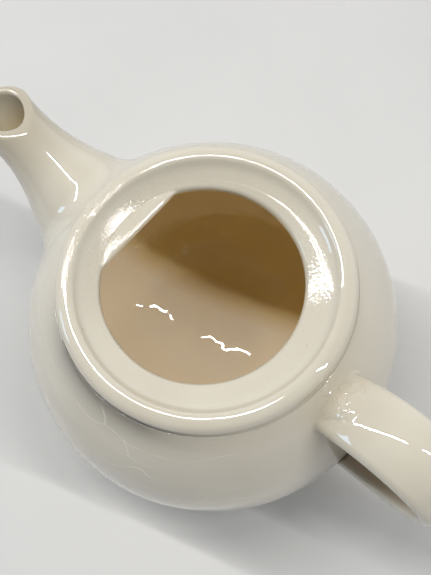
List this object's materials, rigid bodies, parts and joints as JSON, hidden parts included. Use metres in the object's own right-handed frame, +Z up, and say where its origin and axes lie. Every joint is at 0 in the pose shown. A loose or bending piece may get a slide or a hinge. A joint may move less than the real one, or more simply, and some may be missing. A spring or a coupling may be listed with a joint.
{
  "type": "teapot",
  "caption": "Cream glazed ceramic globe teapot without its lid: round body with a lid gallery, upswept spout and ear-shaped strap handle.",
  "frame": {"origin": "centre of the foot ring's face, on the table", "axes": "+Z up along the axis of the globe, +X from the handle to the spout, +Y completes a right-handed frame"},
  "size_m": [0.2368, 0.15, 0.1251],
  "materials": {
    "cream_glaze": "glossy cream glaze with fine crazing",
    "fired_slip": "unglazed fired clay"
  },
  "bodies": {
    "root": {"body": "cream_glaze", "spout": "cream_glaze", "handle": "cream_glaze", "spout_slip": "fired_slip", "handle_top_slip": "fired_slip", "handle_bottom_slip": "fired_slip"}
  },
  "joints": []
}
